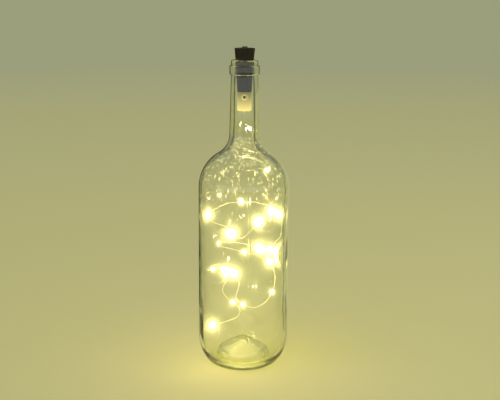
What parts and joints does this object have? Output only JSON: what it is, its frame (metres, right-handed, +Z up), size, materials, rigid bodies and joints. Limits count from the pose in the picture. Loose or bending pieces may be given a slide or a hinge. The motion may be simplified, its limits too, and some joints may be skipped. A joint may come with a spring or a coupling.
{
  "type": "cork bottle light",
  "caption": "Clear wine bottle lit by a fine string of warm-white lights that hangs inside it from a cork-look battery stopper with a push button on top.",
  "frame": {"origin": "middle of the bottle's base, at the level of the ring that it stands on", "axes": "+Z up along the bottle, -Y towards the side where the stopper shows its screw"},
  "size_m": [0.09, 0.09, 0.3213],
  "materials": {
    "bottle_glass": "clear polished bottle glass, faintly green",
    "cork_look": "dark brown cork-grain moulding",
    "button_grey": "satin grey moulding",
    "switch_black": "black moulding",
    "tinned_steel": "tinned",
    "board_green": "green solder mask",
    "chip_black": "fired, with tinned ends",
    "plug_white": "white moulding",
    "contact_brass": "bright spring brass",
    "cap_cream": "cream translucent moulding",
    "screw_black": "blackened",
    "seal_rubber": "pale silicone",
    "splice_sleeve": "shrunk sleeve",
    "lead_red": "insulated wire",
    "lead_black": "insulated wire",
    "cell_steel": "satin nickel",
    "string_copper": "enamelled fine wire",
    "led_resin": "clear glossy resin, lit",
    "led_phosphor": "phosphor, lit"
  },
  "bodies": {
    "bottle": {"glass_bottle": "bottle_glass", "string_lead": "string_copper", "string_wire": "string_copper", "led_drop_01": "led_resin", "led_drop_02": "led_resin", "led_drop_03": "led_resin", "led_drop_04": "led_resin", "led_drop_05": "led_resin", "led_drop_06": "led_resin", "led_drop_07": "led_resin", "led_drop_08": "led_resin", "led_drop_09": "led_resin", "led_drop_10": "led_resin", "led_drop_11": "led_resin", "led_drop_12": "led_resin", "led_drop_13": "led_resin", "led_drop_14": "led_resin", "led_drop_15": "led_resin", "led_drop_16": "led_resin", "led_drop_17": "led_resin", "led_drop_18": "led_resin", "led_drop_19": "led_resin", "led_drop_20": "led_resin", "led_chips": "led_phosphor"},
    "cork_unit": {"cork_shell": "cork_look", "switch_body": "switch_black", "switch_legs": "tinned_steel", "circuit_board": "board_green", "chip_resistor": "chip_black", "board_spacer": "plug_white", "positive_contact": "contact_brass", "button_cell_upper": "cell_steel", "button_cell_middle": "cell_steel", "button_cell_lower": "cell_steel", "negative_contact": "contact_brass", "battery_plug": "plug_white", "battery_cap": "cap_cream", "cap_screw": "screw_black", "wire_seal": "seal_rubber", "wire_splice": "splice_sleeve", "positive_lead": "lead_red", "negative_lead": "lead_black"},
    "button": {"switch_button": "button_grey", "switch_plunger": "switch_black"}
  },
  "joints": [
    {"name": "cork_pull", "type": "slide", "parent": "bottle", "child": "cork_unit", "axis": [0, 0, 1], "range_m": [0, 0.052], "deforming": ["string_lead"]},
    {"name": "button_press", "type": "slide", "parent": "cork_unit", "child": "button", "axis": [0, 0, 1], "range_m": [-0.0012, 0], "stiffness_N_per_m": 1000, "springref_m": 0.0004}
  ]
}
